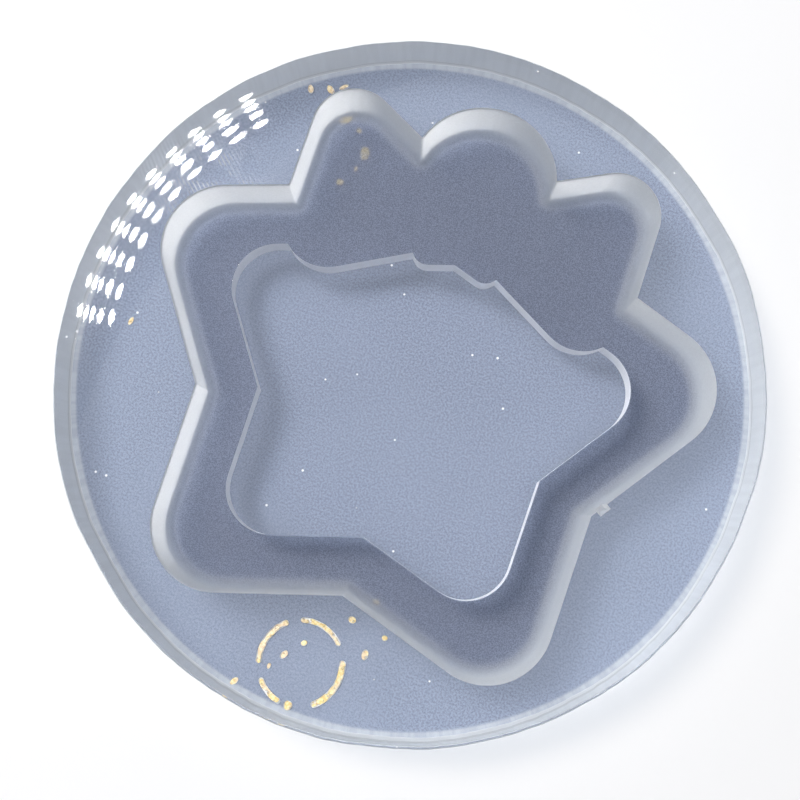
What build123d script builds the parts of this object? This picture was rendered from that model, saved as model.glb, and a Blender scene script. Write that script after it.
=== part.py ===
from build123d import *
from math import atan2, cos, degrees, radians, sin
import os

# Resin casting mould: a round slab of translucent silicone with one deep cavity in its upper
# face. The cavity is a soft five-armed star whose upper arm gives way to a crest of three
# lobes. A clear block stands on the cavity floor and leaves a window recess in the casting.
#
# Frame: millimetres, +Z out of the cavity's mouth, +Y along the cavity's line of symmetry
# towards the crest. The origin is the centre of the flat underside.

# Slab
SLAB_RADIUS = 57.0
SLAB_HEIGHT = 14.5
UNDERSIDE_EDGE_RADIUS = 0.6
RIM_EDGE_RADIUS = 0.8
ROLL_OFF_WIDTH = 7.0  # the outer band of the front face, which falls gently to the rim
ROLL_OFF_DROP = 0.4

# Cavity: a star, with points given from its centre
CAVITY_DEPTH = 10.5
FLOOR_RADIUS = 1.6  # where the cavity's wall meets its floor
STAR_CENTRE = Vector(0.75, -0.6)
STAR_APEX = 54.6  # from the centre to where an arm's straight sides would meet
STAR_VALLEY = 34.3  # from the centre to the notch between two arms
ARM_PITCH = 72.0
UPPER_ARM_ANGLE = 18.0
ARM_TIP_RADIUS = 10.2
NOTCH_RADIUS = 0.35

# Crest
CREST_TOP = 47.4
CREST_NOTCH = Vector(11.35, 38.7)  # between the middle lobe and a side lobe
CREST_SHOULDER = Vector(29.3, 48.0)  # where a side lobe's two flanks would meet
CREST_SHOULDER_RADIUS = 6.8

# Small notch in the cavity's edge, left by a tab on the master
TAB_LENGTH = 1.5
TAB_REACH = 0.9
TAB_DEPTH = 3.0
TAB_OFFSET = 2.2  # along the upper arm's lower side, from the valley

# Window block
WINDOW_HEIGHT = 7.0
WINDOW_SCALE = 0.736  # its star, as a share of the cavity's star
FRINGE_MIDDLE = Vector(0.0, 21.5)  # the wavy upper edge, from its middle outwards
FRINGE_DIP = Vector(5.6, 19.7)
FRINGE_PEAK = Vector(7.2, 21.3)
FRINGE_FOOT = Vector(22.6, 12.8)
FRINGE_END_X = 27.1
FRINGE_DIP_RADIUS = 2.4
FRINGE_FOOT_RADIUS = 7.4

# Gold leaf left on the underside
LEAF_THICKNESS = 0.2
RING_CENTRE = (-2.6, -48.2)
RING_RADIUS = 6.8
RING_STROKES = [(130, 64, 1.1), (45, 60, 1.0), (-52, 69, 1.2), (221, 36, 1.0)]  # start, sweep, width
RING_BLOB_ANGLE = 272
RING_BLOB_RADIUS = 0.8
# Each fleck: x, y, half length, half width, turn
FLECKS = [
    (-7.3, -50.2, 0.55, 0.35, 90),
    (-5.6, -47.8, 0.85, 0.55, 60),
    (-3.1, -45.1, 0.60, 0.50, 40),
    (3.1, -39.1, 0.75, 0.60, -10),
    (6.9, -43.7, 0.95, 0.60, 95),
    (9.1, -40.2, 0.55, 0.50, 0),
    (5.8, -35.6, 0.95, 0.70, 60),
    (-11.8, -54.1, 0.80, 0.50, 55),
    (-32.7, 43.8, 0.85, 0.55, 115),
    (-29.4, 44.8, 0.95, 0.60, 140),
    (-27.4, 46.0, 1.00, 0.40, 45),
    (-26.3, 42.3, 1.50, 1.30, 75),
    (-23.0, 40.6, 0.55, 0.50, 0),
    (-20.7, 37.0, 1.30, 0.95, 100),
    (-21.3, 33.9, 0.60, 0.40, 100),
    (-23.2, 30.8, 0.80, 0.70, 0),
    (-48.2, -4.1, 0.80, 0.40, 80),
]

# Worked out from the driving dimensions
FLOOR_Z = SLAB_HEIGHT - CAVITY_DEPTH
RIM_Z = SLAB_HEIGHT - ROLL_OFF_DROP


def polar(radius, angle):
    """A point at a polar position about the star's centre."""
    return Vector(radius * cos(radians(angle)), radius * sin(radians(angle)))


def placed(points):
    """Points given from the star's centre, in the slab's own frame."""
    return [STAR_CENTRE + p for p in points]


def both_sides(points):
    """The points and their mirror images across the line of symmetry, in outline order."""
    return points, [Vector(-p.X, p.Y) for p in reversed(points)]


def right_arms(scale):
    """The upper right apex, the valley below it and the lower right apex of a star."""
    half_pitch = ARM_PITCH / 2
    upper_apex = polar(scale * STAR_APEX, UPPER_ARM_ANGLE)
    valley = polar(scale * STAR_VALLEY, UPPER_ARM_ANGLE - half_pitch)
    lower_apex = polar(scale * STAR_APEX, UPPER_ARM_ANGLE - ARM_PITCH)
    return upper_apex, valley, lower_apex


def on_upper_side(x, scale):
    """The point at x on the upper side of a star's upper right arm."""
    apex = polar(scale * STAR_APEX, UPPER_ARM_ANGLE)
    valley = polar(scale * STAR_VALLEY, UPPER_ARM_ANGLE + ARM_PITCH / 2)
    slope = (valley.Y - apex.Y) / (valley.X - apex.X)
    return Vector(x, apex.Y + slope * (x - apex.X))


def round_corners(sketch, corners, radius):
    """Rounds a sketch at these corners and at their mirror images."""
    spots = placed([*corners, *both_sides(corners)[1]])
    fillet({sketch.vertices().sort_by_distance(spot)[0] for spot in spots}, radius)


def draw_cavity_outline():
    """The star with its crest."""
    upper_apex, side_valley, lower_apex = right_arms(1.0)
    lower_valley = polar(STAR_VALLEY, -90)
    crest_root = on_upper_side(CREST_SHOULDER.X, 1.0)
    right_side = [CREST_NOTCH, CREST_SHOULDER, crest_root, upper_apex, side_valley, lower_apex]
    right, left = both_sides(right_side)
    corners = placed([*right, lower_valley, *left])
    crest_top = STAR_CENTRE + Vector(0, CREST_TOP)
    with BuildSketch() as outline:
        with BuildLine():
            Polyline(*corners)
            ThreePointArc(corners[-1], crest_top, corners[0])
        make_face()
        round_corners(outline, [upper_apex, lower_apex], ARM_TIP_RADIUS)
        round_corners(outline, [CREST_SHOULDER], CREST_SHOULDER_RADIUS)
        round_corners(outline, [CREST_NOTCH, crest_root, side_valley, lower_valley], NOTCH_RADIUS)
    return outline.sketch


def draw_window_outline():
    """A smaller star whose upper edge is wavy."""
    upper_apex, side_valley, lower_apex = right_arms(WINDOW_SCALE)
    lower_valley = polar(WINDOW_SCALE * STAR_VALLEY, -90)
    fringe = [FRINGE_DIP, FRINGE_PEAK, FRINGE_FOOT, on_upper_side(FRINGE_END_X, WINDOW_SCALE)]
    right, left = both_sides([*fringe, upper_apex, side_valley, lower_apex])
    with BuildSketch() as outline:
        with BuildLine():
            Polyline(*placed([FRINGE_MIDDLE, *right, lower_valley, *left]), close=True)
        make_face()
        round_corners(outline, [upper_apex, lower_apex], WINDOW_SCALE * ARM_TIP_RADIUS)
        round_corners(outline, [FRINGE_DIP], FRINGE_DIP_RADIUS)
        round_corners(outline, [FRINGE_FOOT], FRINGE_FOOT_RADIUS)
    return outline.sketch


cavity_outline = draw_cavity_outline()
window_outline = draw_window_outline()

# Gold ring: four broken strokes of a circle and a thicker blob
with BuildPart() as gold_ring_residue:
    with BuildSketch():
        for start, sweep, width in RING_STROKES:
            with BuildLine(mode=Mode.PRIVATE):
                stroke = CenterArc(RING_CENTRE, RING_RADIUS, start, sweep)
            SlotArc(stroke, width)
        blob = Vector(*RING_CENTRE) + polar(RING_RADIUS, RING_BLOB_ANGLE)
        with Locations(blob):
            Circle(RING_BLOB_RADIUS)
    extrude(amount=LEAF_THICKNESS)

# Gold flecks: thin loose flakes, all in the one node
with BuildPart() as gold_flecks:
    with BuildSketch():
        for x, y, half_length, half_width, turn in FLECKS:
            with Locations((x, y)):
                Ellipse(half_length, half_width, rotation=turn)
    extrude(amount=LEAF_THICKNESS)

# Silicone casting
with BuildPart() as silicone_body:
    with BuildSketch(Plane.XZ) as slab_profile:
        with BuildLine():
            roll_off_start = (SLAB_RADIUS - ROLL_OFF_WIDTH, SLAB_HEIGHT)
            rim_edge = (SLAB_RADIUS, RIM_Z)
            underside_edge = (SLAB_RADIUS, 0)
            Polyline(rim_edge, underside_edge, (0, 0), (0, SLAB_HEIGHT), roll_off_start)
            TangentArc(roll_off_start, rim_edge, tangent=(1, 0))
        make_face()
        fillet(slab_profile.vertices().sort_by_distance(underside_edge)[0], UNDERSIDE_EDGE_RADIUS)
        fillet(slab_profile.vertices().sort_by_distance(rim_edge)[0], RIM_EDGE_RADIUS)
    revolve(axis=Axis.Z)

    with BuildSketch(Plane.XY.offset(FLOOR_Z)):
        add(cavity_outline)
    extrude(amount=CAVITY_DEPTH, mode=Mode.SUBTRACT)
    floor_edges = silicone_body.edges().filter_by_position(Axis.Z, FLOOR_Z, FLOOR_Z)
    fillet(floor_edges, FLOOR_RADIUS)

    arm_apex, arm_valley, _ = right_arms(1.0)
    arm_side = (arm_apex - arm_valley).normalized()
    tab = STAR_CENTRE + arm_valley + arm_side * TAB_OFFSET
    tab_turn = degrees(atan2(arm_side.Y, arm_side.X))
    with Locations(Location((tab.X, tab.Y, SLAB_HEIGHT), (0, 0, tab_turn))):
        Box(TAB_LENGTH, 2 * TAB_REACH, 2 * TAB_DEPTH, mode=Mode.SUBTRACT)

    add(gold_ring_residue.part, mode=Mode.SUBTRACT)
    add(gold_flecks.part, mode=Mode.SUBTRACT)

# Window block, bonded to the cavity floor
with BuildPart() as window_island:
    with BuildSketch(Plane.XY.offset(FLOOR_Z)):
        add(window_outline)
    extrude(amount=WINDOW_HEIGHT)

silicone_body.part.label = "silicone_body"
window_island.part.label = "window_island"
gold_ring_residue.part.label = "gold_ring_residue"
gold_flecks.part.label = "gold_flecks"

os.makedirs("parts", exist_ok=True)
export_step(silicone_body.part, "parts/silicone_body.step")
export_step(window_island.part, "parts/window_island.step")
export_step(gold_ring_residue.part, "parts/gold_ring_residue.step")
export_step(gold_flecks.part, "parts/gold_flecks.step")
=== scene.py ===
from math import cos, hypot, pi, radians, sin, sqrt, tan

import bmesh
import bpy
import numpy as np
from mathutils import Matrix, Vector, kdtree, noise
from mathutils.geometry import delaunay_2d_cdt


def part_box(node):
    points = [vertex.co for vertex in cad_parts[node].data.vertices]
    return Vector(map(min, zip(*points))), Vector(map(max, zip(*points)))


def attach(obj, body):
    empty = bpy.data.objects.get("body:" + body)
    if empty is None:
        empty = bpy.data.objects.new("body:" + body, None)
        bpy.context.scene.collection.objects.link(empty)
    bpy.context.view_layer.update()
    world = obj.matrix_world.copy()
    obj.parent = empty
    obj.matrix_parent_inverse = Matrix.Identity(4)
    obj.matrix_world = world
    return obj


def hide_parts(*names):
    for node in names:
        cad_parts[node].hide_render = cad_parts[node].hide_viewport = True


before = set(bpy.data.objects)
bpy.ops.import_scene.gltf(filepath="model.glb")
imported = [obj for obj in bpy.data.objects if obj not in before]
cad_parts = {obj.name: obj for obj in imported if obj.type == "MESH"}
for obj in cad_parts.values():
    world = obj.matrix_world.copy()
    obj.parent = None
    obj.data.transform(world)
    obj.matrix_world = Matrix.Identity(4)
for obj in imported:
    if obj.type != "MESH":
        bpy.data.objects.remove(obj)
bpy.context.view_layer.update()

# Resin casting mould in translucent silicone, lying on a pale table with its cavity up.
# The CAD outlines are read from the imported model, and the silicone is rebuilt around them with
# rounded edges, a gently uneven front face and an irregular rim. All lengths are in metres.
MM = 0.001

# ---------------------------------------------------------------- sizes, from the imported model
body_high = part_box("silicone_body")[1]
block_low, block_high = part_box("window_island")
leaf_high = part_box("gold_ring_residue")[1]
RADIUS = body_high[0]
TOP = body_high[2]
FLOOR = block_low[2]
BLOCK_TOP = block_high[2]
POCKET = leaf_high[2]

# The front face falls away towards the rim from here, and is meshed in rings from its edge on
ROLL_OFF_START = RADIUS - 12 * MM
ROLL_OFF_DROP = 0.45 * MM
FRONT_EDGE = RADIUS - 5 * MM

# Rounded edges. A narrow ring beside a rounding holds its shading where the flat face begins
RIM_ROUND = 0.8 * MM
UNDERSIDE_ROUND = 0.4 * MM
FLOOR_ROUND = 1.6 * MM
MOUTH_ROUND = 0.25 * MM
BLOCK_ROUND = 0.1 * MM
HOLD = 0.04 * MM

TAB_DEPTH = 3 * MM
TAB_LEDGE = TOP - TAB_DEPTH
WALL_FOOT = FLOOR + FLOOR_ROUND

# Unevenness, at most
RIM_WOBBLE = 0.3 * MM
FRONT_WOBBLE = 0.03 * MM

# Gold leaf, inside its pockets
LEAF_LOW = 0.03 * MM
LEAF_HIGH = 0.14 * MM
LEAF_BITE = 0.36 * MM
LEAF_CRUMPLE = 0.08 * MM
STROKE_REACH = 2 * MM
FLECK_SHRINK = 0.35
POCKET_HOLD = 0.06 * MM

# Meshing. Outline corners that turn less than a soft one, between short sides, are points of a curve
SAME = 0.02 * MM
SOFT_TURN = 0.45
SHORT_SIDE = 2.2 * MM
CLEARANCE = 0.6
OUTLINE_STEP = 0.6 * MM
FACE_STEP = 1.6 * MM
FLOOR_STEP = 1.5 * MM
UNDERSIDE_STEP = 3 * MM
LEAF_STEP = 0.25 * MM
RIM_POINTS = 420
ROLL_OFF_ROWS = 8
ROUND_ROWS = 5
SIDE_ROWS = 12
SKIN_ROWS = ROLL_OFF_ROWS + 2


# ---------------------------------------------------------------- outlines
def face_kind(face):
    """Whether a face is flat, upright or curved."""
    lean = abs(face.normal.z)
    if lean > 0.999:
        return "flat"
    return "upright" if lean < 0.05 else "curved"


def cad_outlines(node, height, kinds=None):
    """The closed outlines of a CAD node at a height, or only those where these two kinds of face meet."""
    solid = bmesh.new()
    solid.from_mesh(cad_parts[node].data)
    bmesh.ops.remove_doubles(solid, verts=solid.verts, dist=0.001 * MM)
    nexts = {}
    for edge in solid.edges:
        level = all(abs(v.co.z - height) < SAME for v in edge.verts)
        if level and (not kinds or {face_kind(f) for f in edge.link_faces} == kinds):
            for v in edge.verts:
                nexts.setdefault(v, []).append(edge.other_vert(v))
    outlines = []
    while nexts:
        start = min(nexts, key=lambda v: (v.co.x, v.co.y))
        outline, last, here = [], None, start
        while here in nexts:
            around = nexts.pop(here)
            outline.append(Vector(here.co.xy))
            onward = [v for v in around if v is not last and v in nexts]
            last = here
            here = onward[0] if onward else start
        outlines.append(anticlockwise(outline))
    solid.free()
    return outlines


def anticlockwise(outline):
    """The outline, turned to run anticlockwise."""
    pairs = zip(outline, outline[1:] + outline[:1])
    area = sum(a.x * b.y - b.x * a.y for a, b in pairs)
    return outline if area > 0 else outline[::-1]


def refined(outline, step):
    """The outline with more points: round where its corners are soft, straight elsewhere."""
    count = len(outline)
    sides = [outline[(i + 1) % count] - outline[i] for i in range(count)]
    turns = [sides[i - 1].angle_signed(sides[i]) for i in range(count)]
    fine = []
    for i, side in enumerate(sides):
        before, after = turns[i], turns[(i + 1) % count]
        soft = max(abs(before), abs(after)) < SOFT_TURN and before * after > 0
        bend = max(before, after, key=abs) if soft and side.length < SHORT_SIDE else 0
        across = Vector((-side.y, side.x)) * tan(bend / 4) / 2
        pieces = max(1, round(side.length / step))
        for k in range(pieces):
            t = k / pieces
            fine.append(outline[i] + side * t + across * 4 * t * (1 - t))
    return fine


def point_tree(points):
    """A search tree that finds the nearest of these points."""
    tree = kdtree.KDTree(len(points))
    for i, p in enumerate(points):
        tree.insert((p.x, p.y, 0), i)
    tree.balance()
    return tree


def distance_to(tree, x, y):
    """How far a place is from the nearest point of the tree."""
    return tree.find((x, y, 0))[2]


def moved_out(outline, distance):
    """The outline moved outwards, each point along the line that halves its corner."""
    count = len(outline)
    moved = []
    for i, here in enumerate(outline):
        before = (here - outline[i - 1]).normalized()
        after = (outline[(i + 1) % count] - here).normalized()
        out = Vector((before.y + after.y, -before.x - after.x)).normalized()
        reach = max(out.dot(Vector((before.y, -before.x))), 0.5)
        moved.append(here + out * distance / reach)
    return moved


def even_odd(points, outlines):
    """For each point, whether it lies inside the region that the outlines bound."""
    inside = np.zeros(len(points), bool)
    x, y = points[:, :1], points[:, 1:]
    for outline in outlines:
        a = np.array([p[:2] for p in outline])
        b = np.roll(a, -1, axis=0)
        crosses = (a[:, 1] > y) != (b[:, 1] > y)
        with np.errstate(divide="ignore", invalid="ignore"):
            at = a[:, 0] + (y - a[:, 1]) * (b[:, 0] - a[:, 0]) / (b[:, 1] - a[:, 1])
        inside ^= (crosses & (x < at)).sum(1) % 2 == 1
    return inside


def spaced_points(points, step):
    """A triangular grid at this step, over the rectangle around the points."""
    low = np.min([p[:] for p in points], axis=0)
    high = np.max([p[:] for p in points], axis=0)
    rows = np.arange(low[1], high[1], step * sqrt(3) / 2)
    columns = np.arange(low[0], high[0], step)
    return np.array([(x + step / 2 * (n % 2), y) for n, y in enumerate(rows) for x in columns])


# ---------------------------------------------------------------- mesh building
def ring(solid, outline, height):
    """A ring of new vertices at one height."""
    return [solid.verts.new((p.x, p.y, height)) for p in outline]


def band(solid, lower, upper, slot):
    """A band of faces between two rings of as many vertices."""
    count = len(lower)
    for i in range(count):
        j = (i + 1) % count
        solid.faces.new((lower[i], lower[j], upper[j], upper[i])).material_index = slot


def sheet(solid, rings, slot, step=0, height=None):
    """A level sheet that fills the region between rings, with points of its own at this step."""
    verts = [v for r in rings for v in r]
    flat = [Vector(v.co.xy) for v in verts]
    edges, start = [], 0
    for r in rings:
        edges += [(start + i, start + (i + 1) % len(r)) for i in range(len(r))]
        start += len(r)
    outlines = [[v.co for v in r] for r in rings]
    if step:
        edge_points = point_tree(flat)
        grid = spaced_points(flat, step)
        for x, y in grid[even_odd(grid, outlines)]:
            if distance_to(edge_points, x, y) > CLEARANCE * step:
                z = height(x, y) if height else rings[0][0].co.z
                verts.append(solid.verts.new((x, y, z)))
                flat.append(Vector((x, y)))
    filled = delaunay_2d_cdt(flat, edges, [], 0, 1e-9)
    points, triangles, sources = filled[0], filled[2], filled[3]
    middles = np.array([np.mean([points[i][:] for i in t], axis=0) for t in triangles])
    for inside, triangle in zip(even_odd(middles, outlines), triangles):
        if inside:
            corners = [verts[sources[i][0]] for i in triangle]
            solid.faces.new(corners).material_index = slot


def finish_piece(name, solid, materials, node, sharp=radians(40)):
    """Makes an object from the solid, to stand for a CAD node."""
    bmesh.ops.recalc_face_normals(solid, faces=solid.faces)
    mesh = bpy.data.meshes.new(name)
    solid.to_mesh(mesh)
    solid.free()
    mesh.shade_smooth()
    mesh.set_sharp_from_angle(angle=sharp)
    piece = bpy.data.objects.new(name, mesh)
    bpy.context.scene.collection.objects.link(piece)
    for material in materials:
        mesh.materials.append(material)
    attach(piece, "root")
    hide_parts(node)


# ---------------------------------------------------------------- silicone casting
SKIN, SIDE, UNDERSIDE, CAVITY, CLEAR = range(5)


def front_height(x, y):
    """The height of the front face: level, falling towards the rim, and very slightly uneven inside."""
    waves = noise.noise(Vector((x, y, 0)) * 55) + 0.2 * noise.noise(Vector((x, y, 1)) * 160)
    calm = min(1.0, max(0.0, (ROLL_OFF_START - hypot(x, y)) / (8 * MM)))
    return front_shape(x, y) - FRONT_WOBBLE * calm * min(1.0, max(0.0, 0.5 + waves))


def front_shape(x, y):
    """The height of the front face without its unevenness."""
    out = max(0.0, hypot(x, y) - ROLL_OFF_START) / (RADIUS - ROLL_OFF_START)
    return TOP - ROLL_OFF_DROP * out**2.4


def rim_radius(angle, radius):
    """A radius near the rim, drawn in a little where the edge is uneven."""
    at = Vector((cos(angle), sin(angle), 0))
    uneven = noise.noise(at * 3.1) + 0.5 * noise.noise(at * 9.7) + 0.25 * noise.noise(at * 31)
    near_rim = min(1.0, max(0.0, (radius - ROLL_OFF_START) / (RADIUS - ROLL_OFF_START)))
    return radius - RIM_WOBBLE * near_rim * min(1.0, max(0.0, 0.45 + uneven))


def slab_profile():
    """Radii and heights from the front face to the underside. None stands for the front face's height."""
    rim_z = TOP - ROLL_OFF_DROP - RIM_ROUND
    roll_off_width = RADIUS - RIM_ROUND - FRONT_EDGE
    first_turn = radians(84)
    profile = []
    for k in range(ROLL_OFF_ROWS):
        profile.append((FRONT_EDGE + roll_off_width * k / ROLL_OFF_ROWS, None))
    for k in range(ROUND_ROWS + 1):
        turn = first_turn * (1 - k / ROUND_ROWS)
        profile.append((RADIUS - RIM_ROUND * (1 - cos(turn)), rim_z + RIM_ROUND * sin(turn)))
    for k in range(1, SIDE_ROWS):
        profile.append((RADIUS, rim_z + (UNDERSIDE_ROUND - rim_z) * k / SIDE_ROWS))
    for k in range(ROUND_ROWS + 1):
        turn = pi / 2 * k / ROUND_ROWS
        across = UNDERSIDE_ROUND * (1 - cos(turn))
        profile.append((RADIUS - across, UNDERSIDE_ROUND * (1 - sin(turn))))
    return profile


def build_casting(materials):
    """The silicone slab with its cavity."""
    solid = bmesh.new()
    mouth = refined(cad_outlines("silicone_body", TOP, {"flat", "upright"})[0], OUTLINE_STEP)
    wall_foot = cad_outlines("silicone_body", WALL_FOOT)[0]
    mouth_ring, tab_ring = build_mouth(solid, mouth)
    floor_ring = build_lower_wall(solid, tab_ring, wall_foot)

    # The block's footprint is clear, because the block is bonded there
    footprint = ring(solid, block_outline(), FLOOR)
    sheet(solid, [floor_ring, footprint], CAVITY, FLOOR_STEP)
    sheet(solid, [footprint], CLEAR)

    front_ring, underside_ring = build_rim(solid)
    lip = on_front(ring(solid, moved_out(mouth, MOUTH_ROUND + HOLD), TOP))
    band(solid, mouth_ring, lip, SKIN)
    sheet(solid, [front_ring, lip], SKIN, FACE_STEP, front_height)
    sheet(solid, [underside_ring, *build_pockets(solid)], UNDERSIDE, UNDERSIDE_STEP)
    measure_inward(solid, wall_foot)
    finish_piece("silicone_casting", solid, materials, "silicone_body")


def on_front(verts):
    """The ring, moved up or down to lie on the front face."""
    for v in verts:
        v.co.z = front_height(v.co.x, v.co.y)
    return verts


def build_mouth(solid, mouth):
    """The cavity's wall from its rounded mouth down to the tab notch: its first and last rings."""
    rings = []
    rows = 4
    for k in range(rows + 1):
        turn = pi / 2 * k / rows
        outline = moved_out(mouth, MOUTH_ROUND * (1 - sin(turn)))
        rings.append(ring(solid, outline, TOP - MOUTH_ROUND * (1 - cos(turn))))
    rows = 3
    for k in range(1, rows + 1):
        drop = MOUTH_ROUND + (TAB_DEPTH - MOUTH_ROUND) * k / rows
        rings.append(ring(solid, mouth, TOP - drop))
    for upper, lower in zip(rings, rings[1:]):
        band(solid, lower, upper, CAVITY)
    return on_front(rings[0]), rings[-1]


def build_lower_wall(solid, tab_ring, wall_foot):
    """The cavity's wall from the tab notch's ledge down to its rounded foot: the last ring."""
    plain, ledge = plain_ring(solid, tab_ring, wall_foot)
    solid.faces.new(ledge).material_index = CAVITY
    outline = [Vector(v.co.xy) for v in plain]
    rings = [plain]
    rows = 6
    for k in range(1, rows + 1):
        rings.append(ring(solid, outline, TAB_LEDGE + (WALL_FOOT - TAB_LEDGE) * k / rows))
    rows = 8
    for k in range(1, rows + 1):
        turn = pi / 2 * k / rows
        inset = moved_out(outline, -FLOOR_ROUND * (1 - cos(turn)))
        rings.append(ring(solid, inset, WALL_FOOT - FLOOR_ROUND * sin(turn)))
    for upper, lower in zip(rings, rings[1:]):
        band(solid, lower, upper, CAVITY)
    return rings[-1]


def build_rim(solid):
    """The front face's edge, the rim, the side and the underside's edge: the first and last rings."""
    rings = []
    for radius, height in slab_profile():
        loop = []
        for k in range(RIM_POINTS):
            angle = 2 * pi * k / RIM_POINTS
            r = rim_radius(angle, radius)
            x, y = r * cos(angle), r * sin(angle)
            z = front_height(x, y) if height is None else height
            loop.append(solid.verts.new((x, y, z)))
        rings.append(loop)
    for k, (upper, lower) in enumerate(zip(rings, rings[1:])):
        band(solid, lower, upper, SKIN if k < SKIN_ROWS else SIDE)
    return rings[0], rings[-1]


def build_pockets(solid):
    """The shallow pockets in the underside over the gold leaf: their rims."""
    pockets = []
    for outline in leaf_outlines("silicone_body"):
        low, high = ring(solid, outline, 0), ring(solid, outline, POCKET)
        band(solid, low, high, UNDERSIDE)
        inner = ring(solid, moved_out(outline, -POCKET_HOLD), POCKET)
        band(solid, inner, high, UNDERSIDE)
        sheet(solid, [inner], CLEAR)
        pockets.append(low)
    return pockets


def measure_inward(solid, wall_foot):
    """Stores how far each point of the cavity's floor is from its wall, in millimetres."""
    foot_points = point_tree(refined(wall_foot, 0.2 * MM))
    inward = solid.verts.layers.float.new("inward")
    for v in solid.verts:
        if abs(v.co.z - FLOOR) < FLOOR_ROUND:
            v[inward] = distance_to(foot_points, v.co.x, v.co.y) / MM


def plain_ring(solid, upper, wall_foot):
    """The ring under the tab notch, which leaves the upper ring's vertices at the notch, and the ledge."""
    foot_points = point_tree(refined(wall_foot, 0.1 * MM))
    away = [distance_to(foot_points, v.co.x, v.co.y) > 0.12 * MM for v in upper]
    count = len(upper)
    first = next(i for i in range(count) if away[i] and not away[i - 1])
    notch = []
    while away[(first + len(notch)) % count]:
        notch.append(upper[(first + len(notch)) % count])
    start, end = upper[first - 1], upper[(first + len(notch)) % count]
    kept = [upper[(first + len(notch) + k) % count] for k in range(count - len(notch))]
    across = end.co - start.co
    pieces = max(2, round(across.length / OUTLINE_STEP))
    bridge = [solid.verts.new(start.co + across * k / pieces) for k in range(1, pieces)]
    return kept + bridge, [start, *notch, end, *reversed(bridge)]


def block_outline():
    """The window block's outline."""
    return refined(cad_outlines("window_island", BLOCK_TOP, {"flat", "upright"})[0], OUTLINE_STEP)


def leaf_outlines(node):
    """The outlines of gold leaf on the underside: a leaf node's own, or the body's pockets for all."""
    outlines = cad_outlines(node, 0, {"flat", "upright"})
    return [refined(outline, LEAF_STEP) for outline in outlines]


BLOCK_SKIN, BLOCK_WALL, BLOCK_CLEAR = range(3)


def build_block(materials):
    """The clear block that leaves the window in a casting."""
    solid = bmesh.new()
    outline = block_outline()
    rings = [ring(solid, outline, FLOOR)]
    wall_height = BLOCK_TOP - BLOCK_ROUND - FLOOR
    wall_rows, round_rows = 6, 3
    for k in range(1, wall_rows + 1):
        rings.append(ring(solid, outline, FLOOR + wall_height * k / wall_rows))
    for k in range(1, round_rows + 1):
        turn = pi / 2 * k / round_rows
        inset = moved_out(outline, -BLOCK_ROUND * (1 - cos(turn)))
        rings.append(ring(solid, inset, BLOCK_TOP - BLOCK_ROUND * (1 - sin(turn))))
    rings.append(ring(solid, moved_out(outline, -BLOCK_ROUND - HOLD), BLOCK_TOP))
    for k, (lower, upper) in enumerate(zip(rings, rings[1:])):
        band(solid, lower, upper, BLOCK_WALL if k < wall_rows else BLOCK_SKIN)
    sheet(solid, [rings[-1]], BLOCK_SKIN, FACE_STEP)
    sheet(solid, [rings[0]], BLOCK_CLEAR)
    finish_piece("window_block", solid, materials, "window_island")


# ---------------------------------------------------------------- gold leaf
def crumple(x, y, scale):
    """Uneven values from 0 to 1 over the leaf."""
    broad = noise.noise(Vector((x, y, 0)) * scale)
    fine = noise.noise(Vector((x, y, 1)) * scale * 2.7)
    return min(1.0, max(0.0, 0.5 + (broad + 0.5 * fine)))


def leaf_height(x, y):
    """The height of the crumpled leaf."""
    return LEAF_HIGH + (crumple(x, y, 2500) - 0.5) * LEAF_CRUMPLE


def ragged_edge(outline):
    """The outline with bites taken out of it: narrow strokes lose most, and small flecks shrink."""
    middle = sum(outline, Vector((0, 0))) / len(outline)
    reach = max((p - middle).length for p in outline)
    if reach > STROKE_REACH:
        inner = moved_out(outline, -LEAF_BITE)
    else:
        inner = [p.lerp(middle, FLECK_SHRINK) for p in outline]
    return [edge.lerp(inset, crumple(edge.x, edge.y, 700)) for edge, inset in zip(outline, inner)]


def build_leaf(name, node, materials):
    """Crumpled gold leaf in its pockets, as ragged closed flakes."""
    solid = bmesh.new()
    for pocket in leaf_outlines(node):
        edge = ragged_edge(pocket)
        under, over = ring(solid, edge, LEAF_LOW), ring(solid, edge, LEAF_HIGH)
        band(solid, under, over, 0)
        sheet(solid, [over], 0, 0.3 * MM, leaf_height)
        sheet(solid, [under], 0)
    finish_piece(name, solid, materials, node, radians(60))


# ---------------------------------------------------------------- materials
SILICONE_IOR = 1.41
SPECK_SPACING = 4.5 * MM
SPECK_SIZE = 0.25 * MM
RIDGE_PITCH = 0.65 * MM
SMUDGE_PLACE = (-0.72 * RADIUS, 0.325 * RADIUS, TOP)
SMUDGE_HEART = 3 * MM
SMUDGE_REACH = 14 * MM

# The scale at which a wave texture's diagonal bands repeat once to the metre, along a level face
DIAGONAL_SCALE = 2 * pi / (10 * sqrt(2))


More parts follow.
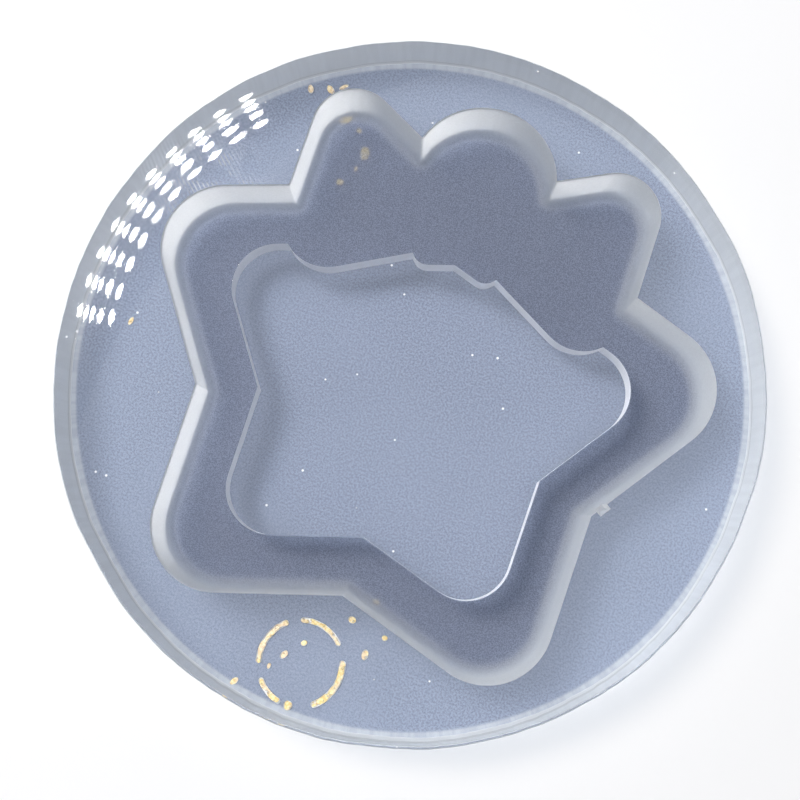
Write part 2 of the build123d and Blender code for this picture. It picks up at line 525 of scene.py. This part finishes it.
class Tree:
    """Builds a material's node tree."""

    def __init__(self, name):
        self.material = bpy.data.materials.new(name)
        self.material.use_nodes = True
        self.tree = self.material.node_tree
        self.tree.nodes.clear()
        self.output = self.tree.nodes.new("ShaderNodeOutputMaterial")

    def add(self, kind, values=None, **settings):
        """A node with these settings, whose inputs are linked or set."""
        made = self.tree.nodes.new("ShaderNode" + kind)
        for key, value in settings.items():
            setattr(made, key, value)
        for key, value in (values or {}).items():
            if isinstance(value, bpy.types.NodeSocket):
                self.tree.links.new(value, made.inputs[key])
            else:
                made.inputs[key].default_value = value
        return made

    def place(self):
        """Positions on the object, in metres."""
        return self.add("NewGeometry").outputs["Position"]

    def attribute(self, name):
        """A value stored on the mesh."""
        return self.add("Attribute", attribute_name=name).outputs["Fac"]

    def height(self):
        """Heights on the object, in metres."""
        return self.add("SeparateXYZ", {0: self.place()}).outputs[2]

    def product(self, first, second):
        """Two values multiplied."""
        return self.add("Math", {0: first, 1: second}, operation="MULTIPLY").outputs[0]

    def stretched(self, vector, scale):
        """The vector multiplied along each axis."""
        return self.add("VectorMath", {0: vector, 1: scale}, operation="MULTIPLY").outputs[0]

    def direction(self, vector):
        """The vector, made one unit long."""
        return self.add("VectorMath", {0: vector}, operation="NORMALIZE").outputs[0]

    def length(self, vector):
        """The vector's length."""
        return self.add("VectorMath", {0: vector}, operation="LENGTH").outputs["Value"]

    def grain(self, scale, detail=2.0, where=None):
        """Noise from 0 to 1, with this many features to the metre."""
        values = {"Vector": where or self.place(), "Scale": scale, "Detail": detail}
        return self.add("TexNoise", values).outputs["Fac"]

    def ramp(self, value, low, high, start=0.0, end=1.0):
        """The value eased from start to end between low and high."""
        values = {"Value": value, "From Min": low, "From Max": high, "To Min": start, "To Max": end}
        return self.add("MapRange", values, interpolation_type="SMOOTHSTEP").outputs[0]

    def blend(self, share, first, second):
        """A colour between two."""
        made = self.add("Mix", {"Factor": share}, data_type="RGBA")
        for socket, colour in zip(made.inputs[6:8], (first, second)):
            if isinstance(colour, bpy.types.NodeSocket):
                self.tree.links.new(colour, socket)
            else:
                socket.default_value = (*colour, 1)
        return made.outputs[2]

    def mix(self, share, first, second):
        """A shader between two."""
        return self.add("MixShader", {0: share, 1: first, 2: second}).outputs[0]

    def lets_light(self, shader, tint, inner_tint=None):
        """The shader, with light from lamps passing through in this tint, or another from inside."""
        shadow = self.add("LightPath").outputs["Is Shadow Ray"]
        inside = self.add("NewGeometry").outputs["Backfacing"]
        colour = self.blend(inside, tint, inner_tint or tint)
        clear = self.add("BsdfTransparent", {"Color": colour}).outputs[0]
        return self.mix(shadow, shader, clear)

    def bumps(self, value, distance, strength=1.0, normal=None):
        """A normal roughened by the value."""
        values = {"Height": value, "Distance": distance, "Strength": strength}
        if normal:
            values["Normal"] = normal
        return self.add("Bump", values).outputs[0]

    def upright_normal(self):
        """A normal that stays nearly level where a wall curves into the floor."""
        normal = self.add("NewGeometry").outputs["Normal"]
        return self.direction(self.stretched(normal, (1, 1, 0.15)))

    def streaks(self):
        """Upright streaks around the casting's side."""
        around = self.direction(self.stretched(self.place(), (1, 1, 0.04)))
        return self.ramp(self.grain(55, 5, around), 0.35, 0.65)

    def specks(self):
        """A mask of tiny scattered specks with soft edges."""
        values = {"Vector": self.place(), "Scale": 1 / SPECK_SPACING}
        distance = self.add("TexVoronoi", values).outputs["Distance"]
        reach = SPECK_SIZE / SPECK_SPACING
        return self.ramp(distance, 0.6 * reach, reach, 0.8, 0.0)

    def smudge(self):
        """How hazy the skin is: a little all over, more in the ridges of a faint finger smudge."""
        places = {0: self.place(), 1: SMUDGE_PLACE}
        away = self.add("VectorMath", places, operation="DISTANCE").outputs["Value"]
        spot = self.ramp(away, SMUDGE_HEART, SMUDGE_REACH, 1.0, 0.0)
        values = {
            "Vector": self.place(),
            "Scale": DIAGONAL_SCALE / RIDGE_PITCH,
            "Distortion": 6.0,
            "Detail": 1.0,
            "Detail Scale": 0.15,
        }
        ridges = self.add("TexWave", values, bands_direction="DIAGONAL").outputs["Fac"]
        patchy = self.ramp(self.grain(250, 2), 0.35, 0.6)
        drawn = self.product(self.product(spot, patchy), ridges)
        return self.add("MapRange", {"Value": drawn, "To Min": 0.06, "To Max": 0.42}).outputs[0]

    def done(self, shader):
        """Finishes the material with this shader."""
        self.tree.links.new(shader, self.output.inputs["Surface"])
        return self.material


def clear_skin(name, tint, smudged=False):
    """The glossy outer skin, with a few specks of dust on it."""
    t = Tree(name)
    grain = t.grain(2600, 3)
    values = {
        "Base Color": (*tint, 1),
        "Roughness": 0.03,
        "IOR": SILICONE_IOR,
        "Transmission Weight": 1.0,
        "Normal": t.bumps(grain, 0.01 * MM, 0.06),
    }
    glass = t.add("BsdfPrincipled", values).outputs[0]
    haze = t.add("BsdfDiffuse", {"Color": (0.85, 0.9, 1.0, 1)}).outputs[0]
    milky = t.mix(t.smudge() if smudged else 0.06, glass, haze)
    dust = t.add("BsdfDiffuse", {"Color": (0.9, 0.92, 0.95, 1)}).outputs[0]
    dusty = t.mix(t.specks(), milky, dust)
    return t.done(t.lets_light(dusty, (0.93, 0.95, 0.97)))


def underside_film(name):
    """The underside, where the silicone's own blue-grey tint shows."""
    t = Tree(name)
    fine = t.grain(3000, 4)
    broad = t.grain(35, 2)
    colour = t.blend(t.ramp(broad, 0.3, 0.7), (0.165, 0.197, 0.275), (0.19, 0.226, 0.31))
    colour = t.blend(t.ramp(fine, 0.35, 0.65, 0.0, 0.8), colour, (0.285, 0.33, 0.435))

    # Just inside the rim the underside is painted paler, a painted highlight for the light that a rounded
    # edge catches
    out = t.length(t.stretched(t.place(), (1, 1, 0)))
    edge = t.blend(t.streaks(), (0.38, 0.41, 0.47), (0.46, 0.49, 0.54))
    colour = t.blend(t.ramp(out, RADIUS - 1.7 * MM, RADIUS - 1.1 * MM), colour, edge)
    values = {"Base Color": colour, "Roughness": 0.7, "Specular IOR Level": 0.0, "Alpha": 0.88}
    return t.done(t.add("BsdfPrincipled", values).outputs[0])


def frosted(t, tint, through, streaked=False):
    """A frosted upright surface, of which a share glows with the light that comes through it."""
    fine = t.grain(2500, 3)
    normal = t.bumps(fine, 0.02 * MM, 0.4, t.upright_normal())
    worn = t.streaks() if streaked else t.ramp(fine, 0.3, 0.7)
    colour = t.blend(worn, tuple(0.95 * c for c in tint), tint)
    if streaked:
        # Painted shade: the streaked side is darker towards its lower edge, where it sits on the table
        shaded_lower_edge = tuple(0.7 * c for c in tint)
        colour = t.blend(t.ramp(t.height(), 0.0, 2 * UNDERSIDE_ROUND), shaded_lower_edge, colour)
    front = t.add("BsdfDiffuse", {"Color": colour, "Normal": normal}).outputs[0]
    back = t.add("BsdfTranslucent", {"Color": colour, "Normal": normal}).outputs[0]
    return t.mix(through, front, back)


def frosted_wall(name, tint, through, shade, streaked=False):
    """A frosted wall that dims the light it lets through. A streaked one also shows a blurred view, and
    has painted shade along its lower edge.
    """
    t = Tree(name)
    shader = frosted(t, tint, through, streaked)
    if streaked:
        values = {"Color": (0.95, 0.97, 1.0, 1), "Roughness": 0.45, "IOR": SILICONE_IOR}
        blurred = t.add("BsdfRefraction", values).outputs[0]
        shader = t.mix(0.18, shader, blurred)
    return t.done(t.lets_light(shader, shade))


def cavity_floor(t):
    """The grey grained floor, partly clear and partly dull."""
    fine = t.grain(5200, 3)
    normal = t.bumps(fine, 0.02 * MM, 0.5)
    tint = t.blend(t.ramp(fine, 0.35, 0.65), (0.46, 0.48, 0.53), (0.8, 0.82, 0.86))
    clear = t.add("BsdfRefraction", {"Color": tint, "Roughness": 0.35, "IOR": SILICONE_IOR}).outputs[0]
    dull_tint = t.blend(t.ramp(fine, 0.4, 0.6), (0.24, 0.26, 0.34), (0.36, 0.39, 0.49))
    dull = t.add("BsdfDiffuse", {"Color": dull_tint, "Normal": normal}).outputs[0]
    return t.lets_light(t.mix(0.35, clear, dull), (0.75, 0.77, 0.8))


def frosted_cavity(name):
    """The cavity: a glowing frosted wall that fades softly into its floor."""
    t = Tree(name)
    ground = cavity_floor(t)
    inward = t.attribute("inward")
    through = t.ramp(inward, 0.0, 1.2, 1.0, 0.72)
    glow = frosted(t, (0.98, 0.98, 0.97), through)
    upright = t.lets_light(glow, (0.98, 0.98, 0.98), (0.68, 0.7, 0.72))
    across = t.ramp(inward, -0.7, 2.6)
    down = t.ramp(t.height(), WALL_FOOT, FLOOR + 5 * MM, 0.18, 0.0)
    share = t.add("Math", {0: across, 1: down}, operation="MAXIMUM").outputs[0]
    return t.done(t.mix(share, upright, ground))


def clear_bond(name):
    """Nothing to see: two clear pieces touch here."""
    t = Tree(name)
    return t.done(t.add("BsdfTransparent", {"Color": (1, 1, 1, 1)}).outputs[0])


def gold_leaf(name):
    """Thin crumpled gold leaf."""
    t = Tree(name)
    creases = t.grain(3500, 4)
    pale = t.blend(t.ramp(creases, 0.35, 0.65), (0.72, 0.52, 0.3), (0.92, 0.78, 0.55))
    bright = t.blend(t.ramp(creases, 0.35, 0.65), (0.74, 0.52, 0.16), (0.95, 0.8, 0.42))
    values = {
        "Base Color": t.blend(t.ramp(t.grain(260, 2), 0.45, 0.58), pale, bright),
        "Metallic": 0.3,
        "Roughness": 0.6,
        "Specular IOR Level": 0.2,
        "Alpha": t.ramp(t.grain(1100, 3), 0.34, 0.46, 0.1, 1.0),
        "Normal": t.bumps(creases, 0.05 * MM, 0.8),
    }
    return t.done(t.add("BsdfPrincipled", values).outputs[0])


# ---------------------------------------------------------------- the mould
skin = clear_skin("silicone_skin", (0.96, 0.975, 0.99), smudged=True)
block_skin = clear_skin("block_skin", (0.86, 0.87, 0.9))
bond = clear_bond("silicone_bond")
side = frosted_wall("frosted_side", (0.93, 0.965, 1.0), 0.17, (0.72, 0.74, 0.77), streaked=True)
block_wall = frosted_wall("block_wall", (0.99, 0.99, 1.0), 0.02, (0.5, 0.52, 0.55))
film = underside_film("underside_film")
cavity = frosted_cavity("frosted_cavity")
gold = gold_leaf("gold_leaf_creased")

build_casting([skin, side, film, cavity, bond])
build_block([block_skin, block_wall, bond])
build_leaf("gold_ring_leaf", "gold_ring_residue", [gold])
build_leaf("gold_fleck_leaf", "gold_flecks", [gold])


# ---------------------------------------------------------------- table, light and camera
def area_light(name, place, target, size, power, colour):
    """A square lamp, turned towards a target."""
    data = bpy.data.lights.new(name, "AREA")
    data.size = size
    data.energy = power
    data.color = colour
    lamp = bpy.data.objects.new(name, data)
    lamp.location = place
    lamp.rotation_euler = (Vector(target) - Vector(place)).to_track_quat("-Z", "Y").to_euler()
    bpy.context.scene.collection.objects.link(lamp)
    return lamp


# The view, in the frame: image_up and image_right are the picture's directions on the table
VIEW_TURN = radians(18.5)
VIEW_TILT = radians(7.3)
VIEW_DISTANCE = 178 * MM
VIEW_LENS = 50.55
VIEW_SENSOR = 36
VIEW_SHIFT = (-0.0125, -0.0244)
UP = Vector((0, 0, 1))
image_up = Vector((-sin(VIEW_TURN), cos(VIEW_TURN), 0))
image_right = Vector((cos(VIEW_TURN), sin(VIEW_TURN), 0))
centre = Vector((0, 0, TOP))
view_back = UP * cos(VIEW_TILT) - image_up * sin(VIEW_TILT)
camera_place = centre + view_back * VIEW_DISTANCE

# The pale surround, and how bright it is to the camera and as a light
SURROUND = (0.93, 0.96, 1.0, 1)
BACKDROP = 0.95
AMBIENT = 0.42
TABLE_FADE_START = 0.18
TABLE_FADE_END = 0.6

KEY_LEAN = radians(32)
KEY_DISTANCE = 1.2
CEILING_HEIGHT = 0.5
CEILING_SHIFT = 0.2

# The reflected panel of lamps: its place along the rim, and its reach in from the rim
GLINT_ROWS = 10
GLINT_COLUMNS = 5
GLINT_START = radians(120)
GLINT_END = radians(168)
GLINT_REACH = 8.2 * MM
GLINT_WIDTH = 5.2 * MM
GLINT_DISTANCE = 1.5


def add_table():
    """A plain pale table, which fades into the surround far from the mould."""
    bpy.ops.mesh.primitive_plane_add(size=6, location=(0, 0, -0.2 * MM))
    table = bpy.context.object
    table.name = "table"
    t = Tree("pale_table")
    grain = t.grain(30, 3)
    colour = t.blend(grain, (0.88, 0.88, 0.89), (0.9, 0.9, 0.91))
    surface = t.add("BsdfPrincipled", {"Base Color": colour, "Roughness": 0.6}).outputs[0]
    haze = t.add("Emission", {"Color": SURROUND, "Strength": BACKDROP}).outputs[0]
    far = t.ramp(t.length(t.place()), TABLE_FADE_START, TABLE_FADE_END)
    seen = t.add("LightPath").outputs["Is Camera Ray"]
    table.data.materials.append(t.done(t.mix(t.product(far, seen), surface, haze)))


def mirrored_from(spot):
    """The direction in which the camera sees a reflection at this spot of the front face."""
    step = 0.2 * MM
    slope_x = (front_shape(spot.x + step, spot.y) - front_shape(spot.x - step, spot.y)) / (2 * step)
    slope_y = (front_shape(spot.x, spot.y + step) - front_shape(spot.x, spot.y - step)) / (2 * step)
    normal = Vector((-slope_x, -slope_y, 1)).normalized()
    to_camera = (camera_place - spot).normalized()
    return 2 * normal.dot(to_camera) * normal - to_camera


def add_glints():
    """A panel of small round lamps, whose reflections run along the rim and crowd towards it."""
    for row in range(GLINT_ROWS):
        turn = GLINT_START + (GLINT_END - GLINT_START) * row / (GLINT_ROWS - 1)
        out = image_right * cos(turn) + image_up * sin(turn)
        for column in range(GLINT_COLUMNS):
            across = (column / (GLINT_COLUMNS - 1)) ** 0.8
            spot = out * (RADIUS - GLINT_REACH + GLINT_WIDTH * across)
            spot.z = front_shape(spot.x, spot.y)
            away = spot + mirrored_from(spot) * GLINT_DISTANCE
            name = f"glint_{row}_{column}"
            lamp = area_light(name, away, spot, size=0.024, power=0.2, colour=(0.97, 1.0, 1.0))
            lamp.data.shape = "DISK"
            only_reflected(lamp)


def only_reflected(lamp):
    """Lets a lamp show in reflections alone."""
    lamp.visible_diffuse = False
    lamp.visible_transmission = False
    lamp.visible_camera = False


def add_surround():
    """A pale surround, brighter to the camera than as a light."""
    world = bpy.data.worlds.new("studio")
    world.use_nodes = True
    nodes = world.node_tree.nodes
    links = world.node_tree.links
    background = nodes["Background"]
    background.inputs["Color"].default_value = SURROUND
    seen = nodes.new("ShaderNodeLightPath").outputs["Is Camera Ray"]
    strength = nodes.new("ShaderNodeMapRange")
    strength.inputs["To Min"].default_value = AMBIENT
    strength.inputs["To Max"].default_value = BACKDROP
    links.new(seen, strength.inputs["Value"])
    links.new(strength.outputs[0], background.inputs["Strength"])
    bpy.context.scene.world = world


def add_lamps():
    """A soft key lamp from the upper left, and a ceiling to reflect."""
    across = (image_up * 0.6 - image_right * 0.8).normalized()
    direction = across * sin(KEY_LEAN) + UP * cos(KEY_LEAN)
    key_place = centre + direction * KEY_DISTANCE
    key = area_light("key", key_place, centre, size=0.35, power=12.5, colour=(1.0, 0.98, 0.96))
    key.visible_glossy = False

    shift = (image_right * 0.73 - image_up * 0.69) * CEILING_SHIFT
    ceiling_place = centre + shift + UP * CEILING_HEIGHT
    ceiling = area_light("ceiling", ceiling_place, centre, size=0.8, power=1.2, colour=(0.97, 0.98, 1.0))
    ceiling.rotation_euler = (0, 0, VIEW_TURN + radians(45))
    only_reflected(ceiling)


def add_camera():
    """The camera, nearly overhead."""
    data = bpy.data.cameras.new("camera")
    data.lens = VIEW_LENS
    data.sensor_width = VIEW_SENSOR
    data.shift_x, data.shift_y = VIEW_SHIFT
    data.clip_start = 10 * MM
    camera = bpy.data.objects.new("camera", data)
    view_up = view_back.cross(image_right)
    pose = Matrix((image_right, view_up, view_back)).transposed().to_4x4()
    pose.translation = camera_place
    camera.matrix_world = pose
    bpy.context.scene.collection.objects.link(camera)
    bpy.context.scene.camera = camera


add_table()
add_surround()
add_lamps()
add_glints()
add_camera()

# Light has to pass through many clear faces
scene = bpy.context.scene
scene.view_settings.view_transform = "Standard"
scene.cycles.max_bounces = 24
scene.cycles.transmission_bounces = 16
scene.cycles.transparent_max_bounces = 24
